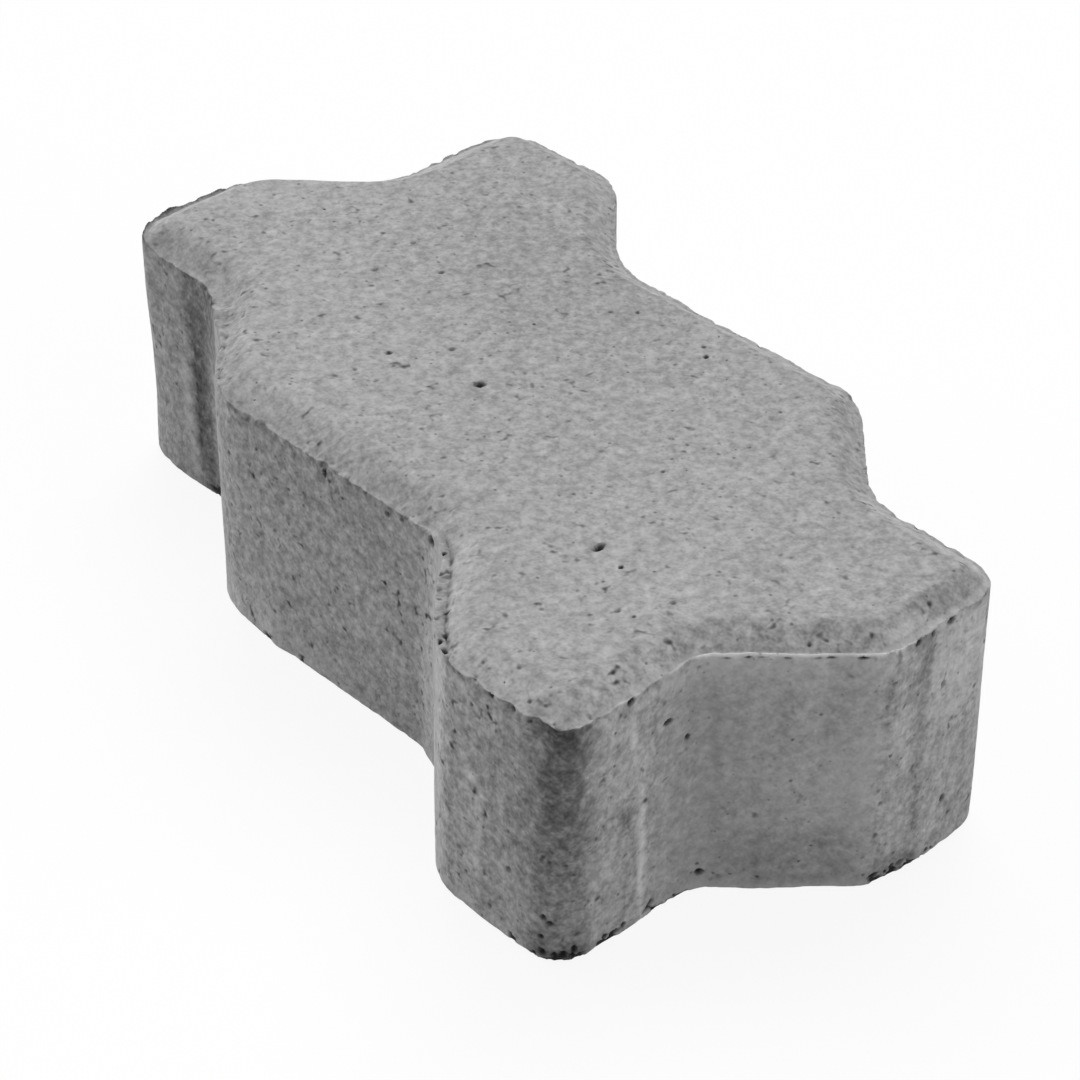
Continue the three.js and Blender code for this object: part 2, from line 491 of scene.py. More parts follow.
# Holes just under the arris.
arrisHoles = {
    "leftMiddle": [(77.4, 63.5, 1.5, 1.5, 0, 2.2)],
    "frontMiddle": [
        (5.0, 65.0, 0.8, 0.28, 0, 0.18), (9.3, 65.0, 0.8, 0.3, 0, 0.26),
        (12.0, 65.0, 0.8, 0.28, 0, 0.12), (17.4, 65.0, 0.9, 0.3, 0, 0.2),
        (24.0, 65.0, 0.8, 0.28, 0, 0.16), (26.7, 65.0, 1.0, 0.3, 0, 0.26),
        (33.8, 65.0, 1.3, 0.38, 0, 0.5),
    ],
    "frontLeft": [(18.3, 64.8, 1.2, 1.0, 0, 1.6)],
    "frontRight": [
        (9.3, 64.7, 1.2, 0.7, 0, 0.9), (14.2, 64.6, 0.7, 0.8, 0, 0.55), (20.2, 64.9, 1.3, 1.1, 0, 1.7),
    ],
    "leftNear": [
        (17.5, 64.9, 0.9, 0.55, 0, 0.5), (23.6, 64.8, 0.9, 0.55, 0, 0.45),
        (28.5, 64.5, 0.5, 0.5, 0, 0.35), (7.7, 65.0, 0.7, 0.4, 0, 0.2),
    ],
}

# Grains torn out of the foot.
footHoles = {
    "leftNear": [
        (33.4, 2.5, 1.1, 1.2, 0, 1.3), (36.2, 2.0, 0.9, 1.1, 0, 1.1), (38.4, 2.2, 1.1, 1.3, 0, 1.3),
        (40.4, 1.6, 1.0, 0.8, 0, 0.9),
    ],
    "frontLeft": [
        (3.2, 3.3, 0.8, 1.5, 0, 1.1), (11.9, 2.4, 0.9, 0.8, 0, 0.8), (14.6, 1.9, 1.7, 0.8, 0, 0.9),
        (17.3, 2.6, 0.8, 0.8, 0, 0.8),
    ],
    "frontRight": [
        (1.2, 2.6, 1.5, 0.7, 10, 0.8), (4.5, 2.3, 0.5, 0.5, 0, 0.5), (6.4, 2.9, 0.9, 1.0, 0, 1.1),
        (8.8, 2.8, 1.4, 0.9, 10, 0.6), (12.2, 2.6, 1.5, 1.4, 0, 0.6), (17.3, 1.7, 0.8, 0.7, 0, 0.6),
    ],
}


# Small pores between them: the least half width and how much more, in millimetres, and the depth as a share
# of the smaller half.
pores = {
    "top": {"count": 42, "seed": 3, "size": (0.26, 0.24), "depth": (0.3, 0.8), "fromEdge": 3 * mm},
    "wall": {"count": 46, "seed": 4, "size": (0.25, 0.25), "depth": (0.25, 0.7), "fromEdge": 4 * mm},
    "apart": 3.4 * mm,
    "oval": 0.5,                 # the narrowest, for its length
}


def onOpenFace(at):
    return insideOutline(at)[0] and nearestOnOutline(at)[0][0] >= pores["top"]["fromEdge"]


def randomPits(kind, spans, others, allowed=None):
    values = pores[kind]
    draw = random.Random(values["seed"])
    pits = []
    while len(pits) < values["count"]:
        at = np.array([draw.uniform(low, high) for low, high in spans])
        size = values["size"][0] + values["size"][1] * draw.random() ** 2
        turn = draw.uniform(0, 180)
        stretch = draw.uniform(pores["oval"], 1)
        if allowed and not allowed(at[None]):
            continue
        if all(np.linalg.norm(pit["at"] - at) > pores["apart"] for pit in others + pits):
            depth = size * stretch * draw.uniform(*values["depth"])
            pits.append(makePit(at[0] / mm, at[1] / mm, size, size * stretch, turn, depth))
    return pits


topPits = [makePit(*hole) for hole in topHoles]
topPits += [edgePit(name, *hole) for name, rows in edgeHoles.items() for hole in rows]
topPits += randomPits("top", ((stoneLow.x, stoneHigh.x), (stoneLow.y, stoneHigh.y)), topPits, onOpenFace)

wallPits = [wallPit(name, *hole) for holes in (wallHoles, arrisHoles, footHoles)
            for name, rows in holes.items() for hole in rows]
wallFromEdge = pores["wall"]["fromEdge"]
wallPits += randomPits("wall", ((spacing["seam"], perimeter - spacing["seam"]),
                                (wallFromEdge, skinRun - wallFromEdge)), wallPits)


def scattered(draw, count):
    return np.array([[draw.uniform(-1, 1), draw.uniform(-1, 1)] for _ in range(count)])


def wallGap(run):
    # The gap between the points at a place on the unrolled section, less near the foot and the arris.
    fromEdge = max(0, min(run - footArc, footArc + wallRun - run))
    return spacing["edge"] + (spacing["wall"] - spacing["edge"]) * min(1, fromEdge / spacing["edgeBand"])


def wallPoints():
    # Rows round the stone, from the underside up to the land.
    draw = random.Random(5)
    arcRows = spacing["arcRows"]
    runs = list(np.linspace(0, footArc, arcRows))
    while runs[-1] < footArc + wallRun - spacing["edge"]:
        runs.append(runs[-1] + wallGap(runs[-1]) * math.sqrt(3) / 2)
    runs += list(np.linspace(footArc + wallRun, skinRun, arcRows))
    rows = []
    for k, run in enumerate(runs):
        gap = wallGap(run)
        row = np.zeros((round(perimeter / gap), 2))
        row[:, 0] = (np.arange(len(row)) + 0.5 * (k % 2)) * perimeter / len(row)
        row[:, 1] = run
        inner = arcRows <= k < len(runs) - arcRows
        row += scattered(draw, len(row)) * gap * spacing["jitter"] * (1, 1 if inner else 0)
        rows.append(row)
    body = clearedFor(np.concatenate(rows[1:-1]), wallPits)
    pitted = np.concatenate([pitRings(pit) for pit in wallPits])
    pitted = pitted[np.abs(pitted[:, 1] - skinRun / 2) < skinRun / 2 - pitShape["fromWallEnds"]]
    return rows[0], np.concatenate([body, pitted]), rows[-1]


def triangles(points, edges, insideOnly):
    found = delaunay_2d_cdt([Vector(p) for p in points], edges, [], 1 if insideOnly else 0, 1e-9)
    if len(found[0]) != len(points):
        raise ValueError("two surface points lie in the same place")
    source = [original[0] for original in found[3]]
    faces = np.array([[source[i] for i in face] for face in found[2]])
    a, b, c = points[faces[:, 0]], points[faces[:, 1]], points[faces[:, 2]]
    area = (b - a)[:, 0] * (c - a)[:, 1] - (b - a)[:, 1] * (c - a)[:, 0]
    faces[area < 0] = faces[area < 0][:, ::-1]
    return faces


def wallSkin():
    # The unrolled wall, with a little of each end repeated past the other so that the two ends meet.
    foot, body, lip = wallPoints()
    points = np.concatenate([foot, body, lip])
    points[:, 0] = np.mod(points[:, 0], perimeter)
    margin = spacing["seam"]
    index = np.arange(len(points))
    early, late = points[:, 0] < margin, points[:, 0] > perimeter - margin
    allPoints = np.concatenate([points, points[early] + (perimeter, 0), points[late] - (perimeter, 0)])
    allIndex = np.concatenate([index, index[early], index[late]])
    faces = triangles(allPoints, [], False)
    middle = allPoints[faces].mean(axis=1)[:, 0]
    faces = allIndex[faces[(middle >= 0) & (middle < perimeter)]]
    footRing = np.arange(len(foot))
    lipRing = np.arange(len(points) - len(lip), len(points))
    return points, faces, footRing, lipRing


def ringOrder(points, ring):
    return ring[np.argsort(points[ring, 0])]


def stoneSurface():
    unrolled, wallFaces, footRing, lipRing = wallSkin()
    footRing, lipRing = ringOrder(unrolled, footRing), ringOrder(unrolled, lipRing)
    at, inward = onOutline(unrolled[:, 0])
    inset, height, out, up = wallSection(unrolled[:, 1])
    plan = at + inward * inset[:, None]
    wallPlaces = np.column_stack([plan, height])
    wallNormals = np.column_stack([-inward * out[:, None], up])

    # The chamfer as rings, and the open face as a honeycomb.
    draw = random.Random(6)
    rings = []
    ringInset = landStart + spacing["rim"]
    while ringInset < stone["cornerRadius"] - spacing["ringsEnd"]:
        along = evenAlong(ringInset, spacing["edge"] * spacing["ringPoints"], 0.5 * (len(rings) % 2))
        ringGap = spacing["rim"] if ringInset < spacing["rimBand"] else spacing["edge"] * spacing["ringGap"]
        jitter = scattered(draw, len(along)) * spacing["ringJitter"] * ringGap
        ringAt, ringIn = onOutline(along + jitter[:, 0])
        rings.append(ringAt + ringIn * (ringInset + jitter[:, 1])[:, None])
        ringInset += ringGap
    openFace = insideGrid(spacing["top"], ringInset + spacing["joinGap"], seed=7)
    topInner = clearedFor(np.concatenate(rings + [openFace]), topPits)
    topInner = np.concatenate([topInner] + [pitRings(pit) for pit in topPits])
    lip = plan[lipRing]
    topPlan = np.concatenate([lip, topInner])
    loop = [(i, (i + 1) % len(lip)) for i in range(len(lip))]
    topFaces = triangles(topPlan, loop, True)
    topPlaces = np.column_stack([topInner, topHeight(*nearestOnOutline(topInner))])
    topIndex = np.concatenate([lipRing, len(unrolled) + np.arange(len(topInner))])

    # The underside, flat on the pallet.
    bedInner = insideGrid(spacing["underside"], stone["footRadius"] + spacing["footGap"], seed=8)
    foot = plan[footRing]
    bedPlan = np.concatenate([foot, bedInner])
    loop = [(i, (i + 1) % len(foot)) for i in range(len(foot))]
    bedFaces = triangles(bedPlan, loop, True)[:, ::-1]
    bedPlaces = np.column_stack([bedInner, np.zeros(len(bedInner))])
    bedIndex = np.concatenate([footRing, len(unrolled) + len(topInner) + np.arange(len(bedInner))])

    places = np.concatenate([wallPlaces, topPlaces, bedPlaces])
    normals = np.concatenate([wallNormals, np.tile((0, 0, 1), (len(topInner), 1)),
                              np.tile((0, 0, -1), (len(bedInner), 1))])
    faces = np.concatenate([wallFaces, topIndex[topFaces], bedIndex[bedFaces]])
    kinds = {"unrolled": unrolled, "wall": np.arange(len(unrolled)),
             "top": len(unrolled) + np.arange(len(topInner))}
    return places, normals, faces, kinds


# Where the sides bow from the drawn outline, as the fresh stone slumped or dragged in the mould,
# in millimetres: the stretch, how far along and up, half the width and height, how far it leans,
# and how far it goes inwards.
sideBows = [
    ("frontLeft", 7, 0, 7, 30, 0, 0.6),
    ("frontLeft", 7, 66, 3, 25, 0, 0.5),
    ("frontMiddle", 0, 66, 4, 40, 0, 1.4),
    ("frontMiddle", 1, 0, 3, 30, 0, 0.5),
    ("frontMiddle", 12, 0, 7, 30, 0, -0.5),
    ("frontMiddle", 13, 66, 9, 35, 0, 0.8),
    ("frontMiddle", 30, 0, 7, 45, 0, 0.9),
    ("frontMiddle", 30, 66, 8, 40, 0, 1.3),
    ("frontRight", 20, 0, 11, 35, 0, -0.6),
    ("frontRight", 6, 0, 5, 30, 0, 0.4),
    ("frontRight", 17, 66, 15, 38, 0, 0.75),
    ("frontRight", 36, 66, 5, 30, 0, 0.4),
    ("rightNear", 27, 66, 12, 40, 0, -0.6),
    ("rightMiddle", 5, 66, 6, 40, 0, -0.6),
    ("rightMiddle", 40, 20, 16, 14, 0, 0.3),
    ("rightMiddle", 48, 66, 9, 40, 0, 0.7),
    ("rightFarStep", 1, 66, 7, 40, 0, -0.5),
    ("rightFar", 3, 66, 3, 40, 0, -0.8),
    ("rightFar", 37, 66, 4, 40, 0, 1.0),
    ("backRight", 0, 66, 5, 40, 0, 1.2),
    ("backRight", 24, 66, 15, 45, 0, -1.5),
    ("backMiddle", 14, 66, 7, 45, 0, 1.9),
    ("backMiddle", 32, 66, 8, 45, 0, 0.7),
    ("backLeft", 20, 12, 10, 12, 0, 0.35),
    ("backLeft", 24, 66, 9, 20, 0, -0.6),
    ("leftFar", 0, 27, 7, 19, 0, 0.55),
    ("leftFar", 5, 0, 5, 25, 0, 0.6),
    ("leftFar", 4, 66, 4, 25, 0, -0.5),
    ("leftFar", 21, 0, 10, 35, 0, -0.6),
    ("leftFarStep", 29, 0, 6, 40, 0, 0.3),
    ("leftMiddle", 5, 0, 9, 20, 0, 1.0),
    ("leftMiddle", 21, 0, 4, 15, 0, -0.5),
    ("leftNearStep", -1, 0, 5, 40, 0, -1.0),
    ("leftNearStep", 38, 26, 9, 22, 0, -0.35),
    ("leftNear", 9, 0, 4, 20, 0, 0.4),
    ("leftNear", 32, 66, 3, 12, 0, 1.3),
]

# Where the land alone bulges outwards past the mould line, laid out in the same way.
landBulges = [
    ("leftFarStep", 4, 66, 11.5, 40, 0, -3.0),
    ("leftNearStep", 21, 66, 12, 30, 0, -0.8),
]

# Where the tamper pressed the chamfer lower down the side, in millimetres: the stretch, from, to and how far.
lowArrises = [
    ("leftMiddle", 2, 78, 1.3),
    ("leftFar", 5, 44, 1.6),
]

# Where the foot is open and crumbly, in millimetres: the stretch, from and to, the height and the depth.
footCrumbs = [
    ("leftNear", 31.5, 43.5, 1.8, 0.6),
    ("frontLeft", 10, 18.5, 1.7, 0.56),
    ("frontLeft", 22.5, 27, 3.4, 0.56),
    ("frontLeft", 26, 38.5, 1.5, 0.56),
    ("frontRight", -1.5, 9.5, 1.8, 0.6),
    ("frontRight", 7.5, 18, 1.6, 0.49),
    ("leftNear", 23, 26, 2.2, 0.42),
    ("leftMiddle", 16, 19, 2, 0.35),
    ("leftMiddle", 27, 30, 2, 0.35),
    ("leftFar", 27, 36, 3, 0.49),
    ("rightNear", 6, 12, 2.2, 0.45),
    ("rightMiddle", 25, 33, 2.2, 0.45),
    ("rightMiddle", 61, 66, 2.4, 0.49),
    ("rightFar", 18, 25, 2.4, 0.45),
    ("backRight", 4, 15, 3.2, 0.56),
    ("backLeft", 9, 17, 3, 0.56),
]


def smoothStep(low, high, value):
    t = np.clip((value - low) / (high - low), 0, 1)
    return t * t * (3 - 2 * t)


def noiseAt(places, size, stretch=(1, 1, 1), shift=0):
    scaled = places / np.array(stretch) / size + shift
    return np.array([noise.noise(place) for place in scaled.tolist()])


def wallMask(places, along, mark):
    # 1 inside a mark on the wall and 0 outside it, with a soft edge.
    name, distance, height, halfWidth, halfHeight, lean, _ = mark
    up = places[:, 2] / mm - height
    aside = (np.mod(along - alongOf(name, distance * mm) + perimeter / 2, perimeter) - perimeter / 2) / mm
    aside = aside - lean * up
    return np.exp(-np.abs(aside / halfWidth) ** 3 - np.abs(up / halfHeight) ** 3)


def spanMask(along, name, start, end, soft):
    # 1 along a span of the outline and 0 past it, with soft ends. In millimetres.
    past = np.mod(along - alongOf(name, start * mm), perimeter) / mm
    return smoothStep(0, soft, past) * (1 - smoothStep(end - start - soft, end - start, past))


def cutRelief(places, normals, kinds):
    # Swell, grain and draw marks all over, then pits, then the worn arris and foot.
    unrolled, wall, top = kinds["unrolled"], kinds["wall"], kinds["top"]
    depth = np.full(len(places), relief["skin"])
    depth -= relief["swell"] * noiseAt(places, relief["swellSize"])
    depth -= relief["grain"] * noiseAt(places, relief["grainSize"], shift=noiseShift["grain"])
    run = unrolled[:, 1]
    onWall = smoothStep(footArc, footArc + 2 * mm, run) * smoothStep(skinRun, skinRun - 2 * mm, run)
    draw = noiseAt(places[wall], relief["drawSize"], (1, 1, relief["drawStretch"]), noiseShift["draw"])
    depth[wall] -= relief["draw"] * draw * onWall

    # Pitted holds the painted shade that darkens each hole, nick, groove and crumb.
    pitted = np.zeros(len(places))
    fadeStart, deepFade, fadeEnd = pitShape["shade"]
    for pits, flat, index in ((topPits, places[top][:, :2], top), (wallPits, unrolled, wall)):
        for pit in pits:
            felt = pitShape["felt"] * max(pit["halfWidth"], pit["halfLength"])
            near = np.flatnonzero(np.abs(flat - pit["at"]).max(axis=1) < felt)
            reach = pitReach(flat[near], pit, pitShape["uneven"])
            depth[index[near]] += pit["depth"] * (1 - smoothStep(*pitShape["floor"], reach))
            shade = pit["shade"] * (1 - smoothStep(fadeStart + deepFade * pit["shade"], fadeEnd, reach))
            pitted[index[near]] = np.maximum(pitted[index[near]], shade)

    # The sides bow in and out, and the top edge goes with them.
    inset, along = nearestOnOutline(places[:, :2])
    inwards = onOutline(along)[1]
    bow = np.zeros(len(places))
    for sideBow in sideBows:
        bow += sideBow[-1] * mm * wallMask(places, along, sideBow)
    bow *= 1 - smoothStep(relief["bowEnds"][0], chamferEnd + relief["bowEnds"][1], inset)
    bulge = sum(landBulge[-1] * mm * wallMask(places, along, landBulge) for landBulge in landBulges)
    bow += bulge * (1 - smoothStep(landStart, relief["bulgeEnds"], inset))

    # The arris is ragged where the mould and the tamper meet: worn in waves, and broken in small nicks.
    fromArris = np.hypot(inset - stone["mouldTaper"], places[:, 2] - arrisHeight)
    ragged = edgeAlong(along, 2)
    waves = relief["waveGain"] * noiseAt(places, relief["arrisWaveSize"], shift=noiseShift["waves"])
    waves = np.clip(waves + relief["waveBase"], 0, 1) * ragged
    bow += relief["arrisWave"] * waves * (1 - smoothStep(0, relief["arrisWaveBand"], fromArris))
    nicks = np.clip(noiseAt(places, relief["arrisWearSize"], shift=noiseShift["nicks"]), 0, 1) * ragged
    nicks *= 1 - smoothStep(0, relief["arrisBand"], fromArris)
    depth += relief["arrisWear"] * nicks
    # The nicks are painted dark as shade.
    pitted = np.maximum(pitted, relief["nickShade"] * smoothStep(*relief["nickDark"], nicks))

    # The foot is a little worn, and open and crumbly in places.
    nearFoot = 1 - smoothStep(0, relief["footBand"], np.hypot(inset, places[:, 2]))
    worn = np.clip(noiseAt(places, relief["footWearSize"], shift=noiseShift["foot"]), 0, 1)
    depth += relief["footWear"] * worn * nearFoot
    fineLump = noiseAt(places, relief["crumbFineSize"], shift=noiseShift["fineLump"])
    lump = noiseAt(places, relief["crumbSize"], shift=noiseShift["lump"]) + relief["crumbFine"] * fineLump
    offFloor = relief["crumbLeast"] + (1 - relief["crumbLeast"]) * np.clip(places[:, 2] / mm, 0, 1)
    for name, start, end, height, cut in footCrumbs:
        middle, half = (start + end) / 2, (end - start) / 2
        zone = wallMask(places, along, (name, middle, 0, half, height, 0, 0)) * (inset < relief["crumbInset"])
        broken = zone * relief["crumbZone"] + relief["crumbLump"] * lump * (zone > 0.05)
        crumbled = smoothStep(*relief["crumbOpens"], broken)
        depth += cut * mm * crumbled * offFloor
        # The crumbled places are painted dark as shade.
        pitted = np.maximum(pitted, crumbled)

    # The tamper leaves a fine raised line beside the chamfer's end, and a groove at its foot.
    sharp = np.clip(2 - edgeAlong(along[top], 3), 0, 1)
    depth[top] -= relief["ridge"] * sharp * np.exp(-((inset[top] - ridgeAt) / relief["ridgeWidth"]) ** 2)
    grooveWidth = relief["grooveWidth"]
    grooveAt = stone["mouldTaper"] + edgeAlong(along[top], 0) * mm + grooveWidth * relief["grooveIn"]
    groove = edgeAlong(along[top], 1) * np.exp(-((inset[top] - grooveAt) / grooveWidth) ** 2)
    rimNoise = noiseAt(places, relief["rimSize"], shift=noiseShift["rim"])
    groove *= np.clip(relief["grooveBase"] + rimNoise, 0, 2)[top]
    depth[top] += groove * mm
    # The groove is painted dark as shade.
    pitted[top] = np.maximum(pitted[top], relief["grooveShade"] * smoothStep(*relief["grooveDark"], groove))
    cut = places - normals * np.maximum(depth, relief["leastDepth"])[:, None]
    cut[:, :2] += inwards * bow[:, None]

    # It presses the arris lower in places, and squeezes up a thin rim along it.
    lower = 1 - smoothStep(relief["lowStarts"], chamferEnd, inset)
    lower *= smoothStep(arrisHeight - relief["lowBand"], arrisHeight, places[:, 2])
    for name, start, end, drop in lowArrises:
        cut[:, 2] -= drop * mm * lower * spanMask(along, name, start, end, relief["lowSoft"])
    rimUneven = 1 + relief["rimUneven"] * rimNoise
    # Its tone is painted: a highlight along the rim's crest, and shade on the fins at the back.
    rimPaintedLight = np.ones(len(places))
    fromRim = np.hypot(inset - landStart + relief["rimWidth"] / 2, places[:, 2] - arrisHeight)
    shape = np.exp(-((fromRim / relief["rimWidth"]) ** 2)) * (places[:, 2] > stone["thickness"] / 2)
    rim = np.zeros(len(places))
    for name, start, end, height, tone in rims:
        ends = spanMask(along, name, start, end, relief["rimSoft"])
        rim += height * mm * rimUneven * shape * ends
        rimPaintedLight *= 1 + (tone - 1) * np.clip(relief["rimPaintedLight"] * shape, 0, 1) * ends
    cut[:, 2] += rim
    return cut, pitted, rimPaintedLight, inset, along


# How coarse the skin is, and how strongly it is marked by the mould, on each stretch of the wall,
# and how coarse its chamfer is.
wallFinish = {
    "frontLeft": (1.2, 0.8, 1.3), "frontMiddle": (0.7, 0.1, 1.35), "frontRight": (1.1, 1.0, 1.2),
    "rightNear": (1.1, 0.6, 1.1), "rightNearStep": (0.9, 0.4, 1.0), "rightMiddle": (1.0, 0.3, 1.1),
    "rightFarStep": (0.9, 0.5, 1.0), "rightFar": (1.1, 0.8, 1.1),
    "backRight": (1.2, 0.8, 1.1), "backMiddle": (0.7, 0.2, 1.1), "backLeft": (1.1, 0.9, 1.1),
    "leftFar": (1.1, 0.9, 1.0), "leftFarStep": (0.9, 0.5, 1.0), "leftMiddle": (1.3, 0.2, 1.1),
    "leftNearStep": (0.9, 0.5, 1.0), "leftNear": (1.35, 0.8, 1.2),
}

# Where the skin is smoother than the rest of its stretch: as for a stain, and the share of the pattern
# that stays.
smoothPatches = [
    ("frontLeft", 34, 35, 7.5, 60, 0, 0.5),
]

# A tone for each chamfer, stretch by stretch.
chamferTone = {
    "frontLeft": 1.05, "frontMiddle": 1.04, "frontRight": 0.87, "leftNear": 1.17, "leftMiddle": 1.03,
    "leftNearStep": 1.08, "leftFarStep": 0.9, "rightNear": 1.06, "rightNearStep": 0.86, "rightMiddle": 1.07,
    "rightFar": 1.06, "backMiddle": 1.15, "backRight": 1.06, "backLeft": 1.06,
}

# A tone for each land, stretch by stretch.
landTone = {
    "frontLeft": 1.14, "frontRight": 1.2, "leftNear": 1.04, "leftNearStep": 0.86, "leftFarStep": 0.88,
}

# A tone for each wall beside the walked-on face, stretch by stretch.
wallTone = {
    "frontLeft": 0.88, "frontMiddle": 1.02, "frontRight": 0.94, "leftNear": 0.86, "leftMiddle": 0.94,
    "leftFar": 0.87, "leftFarStep": 1.05, "leftNearStep": 1.0,
}

# Darker and paler marks on the walls: stains, pale streaks, and painted light and shade where noted.
# In millimetres: the stretch, how far along and up, half the width and height,
# how far it leans to the next stretch for each millimetre up, and its tone.
wallStainsAndPaintedLight = [
    # the dark band down the front left corner
    ("leftNear", 37.5, 66, 7, 26, 0, 0.38),
    ("leftNear", 37.5, 65, 7, 5, 0, 0.7),
    ("leftNear", 37.5, 34, 7.5, 20, 0, 0.55),
    ("leftNear", 37.0, 5, 9, 10, 0, 0.68),
    ("leftNear", 38, 1.5, 6, 2.5, 0, 0.5),
    # painted shade on the far left wall near the hollow corner by the step, with its deepest part
    ("leftFar", 26, 60, 8, 14, 0, 0.55),
    ("leftFar", 25.8, 25, 3.5, 30, -0.075, 0.34),
    ("leftFar", 28, 43, 3.4, 12, 0, 0.76),
    ("leftFar", 24.2, 28, 1.0, 20, -0.05, 0.42),
    ("leftFar", 19.9, 22, 1.4, 20, -0.07, 1.35),
    ("leftFar", 22, 12, 3, 11, -0.1, 1.12),
    ("leftFarStep", 0, 62, 9, 20, 0, 0.5),
    # painted light on the hollow end of the long left wall, painted shade darkening it upwards, and painted
    # light at its foot
    ("leftMiddle", 79, 35, 4.5, 45, 0, 1.3),
    ("leftMiddle", 35, 58, 36, 16, 0, 0.84),
    ("leftMiddle", 20, 0, 32, 11, 0, 1.3),
    # pale streaks left by the mould, with painted light on patches at the foot, under the arris and on the
    # near step's corner
    ("leftNear", 1, 35, 2.4, 45, 0, 1.15),
    ("leftNear", 11.5, 39.5, 2.2, 1.6, 0, 1.5),
    ("leftNear", 13.4, 24, 1.4, 9, 0.05, 1.42),
    ("leftNear", 8.6, 30, 0.6, 8, 0, 1.2),
    ("frontLeft", 22.4, 20, 1.0, 22, 0, 1.75),
    ("leftNear", 11, 22, 3.5, 24, 0, 1.17),
    ("leftNear", 18, 0, 14, 6, 0, 1.18),
    ("leftNear", 26, 42, 5, 24, 0, 0.84),
    ("leftNear", 17, 47, 5, 8, 0, 0.9),
    ("leftNear", 26, 12, 6, 9, 0, 1.17),
    ("leftNear", 9, 63.5, 4, 3, 0, 1.3),
    ("frontLeft", 3, 60, 5, 9, 0, 0.86),
    ("frontLeft", 12, 12, 5, 12, 0, 1.2),
    ("leftNear", -3, 40, 3.5, 50, 0, 1.25),
    ("frontLeft", 19.8, 58, 1.2, 14, 0, 1.15),
    ("frontLeft", 15, 54, 9, 14, 0, 1.1),
    ("frontLeft", 27, 64, 5, 3, 0, 1.2),
    ("frontLeft", 24, 8, 6, 8, 0, 1.12),
    # dark marks beside them
    ("frontLeft", 17.3, 33, 1.6, 5, 0.1, 0.6),
    ("frontLeft", 17.2, 6, 0.7, 10, 0, 0.7),
    ("frontLeft", 25.8, 54, 0.8, 15, 0, 0.78),
    # the front hollow darkens towards the foot, with a line of painted light at the foot itself
    ("frontMiddle", 20, 8, 14, 9, 0, 0.80),
    ("frontMiddle", 19, 25, 24, 24, 0, 0.94),
    ("frontMiddle", 2, 40, 7, 26, 0, 0.87),
    ("frontMiddle", 17, 51, 18, 9, 0, 0.92),
    ("frontMiddle", 9, 67, 16, 6, 0, 1.15),
    ("frontMiddle", -2, 64, 6, 4, 0, 1.12),
    ("frontMiddle", 34, 30, 8, 12, 0, 1.13),
    ("frontMiddle", 20, 0, 19, 2, 0, 1.25),
    ("frontMiddle", 29, 16, 6, 2.5, 0.6, 0.88),
    ("frontMiddle", 28.5, 47, 2, 3, 0, 0.86),
    ("frontMiddle", 22, 5.0, 7, 0.4, 0, 1.22),
    ("frontRight", 12, 33, 2.2, 34, 0.04, 0.68),
    ("frontRight", 6, 30, 2.5, 24, 0, 1.12),
    ("frontRight", 1.5, 54, 1.8, 9, 0, 0.80),
    ("frontRight", 11, 58, 3.5, 7, 0, 0.7),
    ("frontRight", 26.5, 31, 1.5, 2, -0.4, 0.78),
    ("frontRight", 22, 45, 9, 24, 0, 1.06),
    ("frontRight", 6, 3, 6, 3.5, 0, 0.6),
    ("frontRight", 3, 64, 5, 5, 0, 1.2),
    ("frontRight", 16, 50, 3, 8, 0, 1.15),
    ("frontRight", 25, 54, 8, 15, 0, 1.3),
    ("frontRight", 37, 42, 5, 14, 0, 1.25),
    ("frontRight", 25, 6, 4, 7, 0, 0.9),
    ("frontRight", 34, 8, 6, 10, 0, 0.92),
    # the sides turned away
    ("rightMiddle", 20, 40, 4, 40, 0.05, 0.75),
    ("rightMiddle", 58, 30, 2, 36, 0, 1.2),
    ("rightFar", 30, 40, 6, 40, 0, 0.7),
    ("backRight", 18, 30, 3, 34, 0.05, 0.75),
    ("backRight", 24, 30, 1.2, 26, 0, 1.3),
    ("backLeft", 12, 40, 4, 32, 0, 0.72),
    ("backMiddle", 20, 8, 14, 9, 0, 0.82),
]

# The same on the walked-on face: across, along, half the width and length, and the tone.
topStains = [
    (40.8, -25, 2.2, 1.6, 0.72),
    (-17.3, -66.1, 1.2, 0.7, 1.3),
    (2.5, -35.2, 0.9, 0.7, 1.35),
    (19.2, -84.1, 1.1, 0.8, 1.3),
    (0, -88, 30, 12, 0.97),
    (30, 40, 26, 40, 0.93),
    (-35, 45, 30, 45, 1.06),
    (-12, 106, 26, 9, 1.1),
    (0, 88, 40, 20, 1.03),
    (0, -60, 40, 25, 1.04),
    (-29, -82, 17, 15, 1.07),
    (-51, -105, 6, 6, 0.95),
    (-1, -87, 16, 14, 1.05),
    (16, -100, 13, 6, 1.07),
    (24, -115, 10, 4, 1.14),
    (-57, 19, 5, 14, 1.1),
    (-51, 67, 2.5, 6, 0.82),
    (-55.5, 57, 2.2, 6, 0.9),
    (-27.8, -101.6, 3, 2, 1.15),
    (25, -118, 7, 3.2, 1.3),
    (29, -107.5, 6, 3, 0.9),
    (13, -109, 8, 2.5, 0.93),
]


# Where the finish of the walls ends and that of the chamfer and the top starts, as heights from the arris,
# and how the stains lie on them.
finish = {
    "wallEnds": (-0.6 * mm, 0.1 * mm), "wallInset": 2 * mm,
    "chamferStarts": (0.3 * mm, 1 * mm), "landStarts": -1 * mm, "topStarts": 1 * mm,
    "plainWall": 0.97,           # the tone of the walls that have none listed
    "footPaintedLight": 0.14, "footBand": 2.5 * mm,    # painted light paling the foot, against the floor's shade
    "wander": 1.2, "wanderSize": 5 * mm,       # how far stains stray from their line, in millimetres
    "fineWander": 0.5, "fineWanderSize": 1.8 * mm,
}


